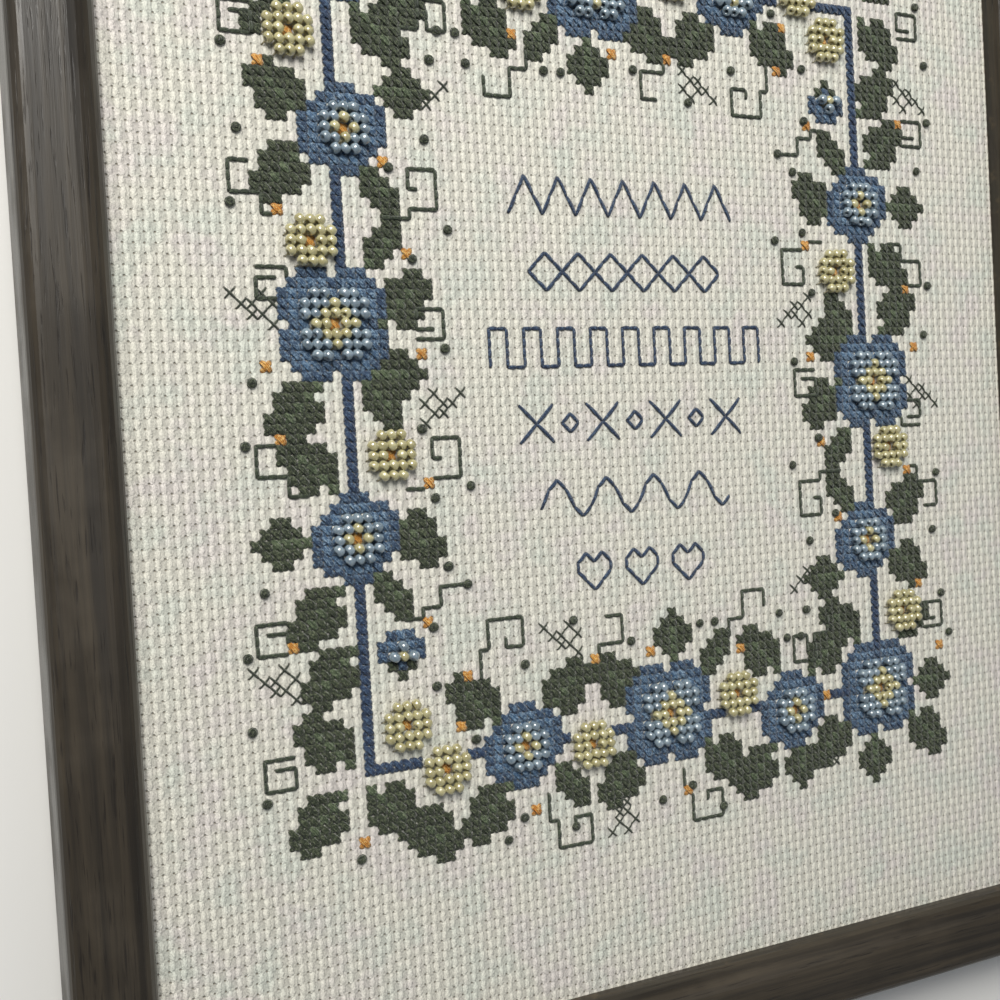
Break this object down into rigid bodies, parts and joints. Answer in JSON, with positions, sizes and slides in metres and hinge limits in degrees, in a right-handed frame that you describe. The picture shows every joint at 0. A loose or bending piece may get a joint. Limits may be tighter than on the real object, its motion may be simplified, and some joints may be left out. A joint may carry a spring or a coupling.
{
  "type": "framed cross stitch sampler in a wooden picture frame",
  "caption": "Needlework sampler on white evenweave cloth with a beaded flower border, stretched over a board and held in a plain dark wooden frame.",
  "frame": {"origin": "middle of the plane on which the four rails' backs rest", "axes": "+Z out of the needlework's face, +Y towards the top of the design, +X to its right"},
  "size_m": [0.225, 0.2758, 0.017],
  "materials": {
    "stained_wood": "dark brown stain under a thin satin varnish",
    "cloth": "white block-weave cotton, matt",
    "mount_board": "pale grey-brown board, matt",
    "steel": "thin stamped steel, dull",
    "thread_blue": "stranded cotton in navy, mid and light blue, soft sheen",
    "thread_green": "stranded cotton in two dark greens, soft sheen",
    "thread_warm": "stranded cotton in orange and pale yellow, soft sheen",
    "bead_blue": "pale blue pearl glass seed beads",
    "bead_cream": "cream pearl glass seed beads"
  },
  "bodies": {
    "root": {"rail_left": "stained_wood", "rail_right": "stained_wood", "rail_top": "stained_wood", "rail_bottom": "stained_wood", "aida_cloth": "cloth", "mount_board": "mount_board", "point_left_1": "steel", "point_left_2": "steel", "point_right_1": "steel", "point_right_2": "steel", "point_top_1": "steel", "point_top_2": "steel", "point_bottom_1": "steel", "point_bottom_2": "steel"}
  },
  "joints": []
}
